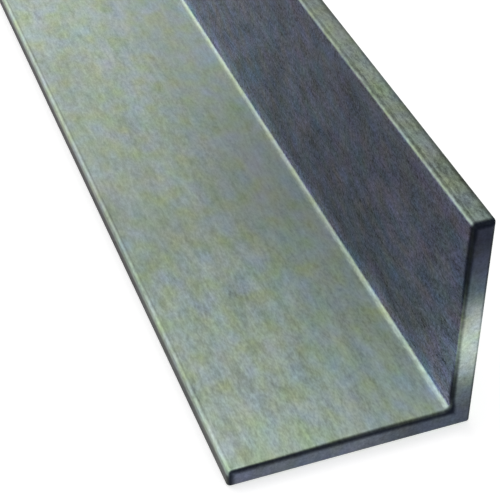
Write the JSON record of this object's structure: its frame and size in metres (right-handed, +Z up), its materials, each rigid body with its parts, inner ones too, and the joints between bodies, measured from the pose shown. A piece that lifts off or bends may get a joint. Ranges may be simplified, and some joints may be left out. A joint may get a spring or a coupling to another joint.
{
  "type": "equal-leg metal angle section",
  "caption": "Straight length of equal-leg metal angle stock with an L section, small root and toe radii and sawn ends with rounded edges, for framing, bracing and edging.",
  "frame": {"origin": "middle of the bar on its underside: midway along the length, midway across the flat leg, at the level it rests on", "axes": "+Z up, Y along the bar's length, one leg flat on Z = 0 and the other standing along the +X side"},
  "size_m": [0.0508, 0.6096, 0.0508],
  "materials": {
    "mill_metal": "bare mill finish, satin, with a fine grain along the length"
  },
  "bodies": {
    "root": {"angle_bar": "mill_metal"}
  },
  "joints": []
}
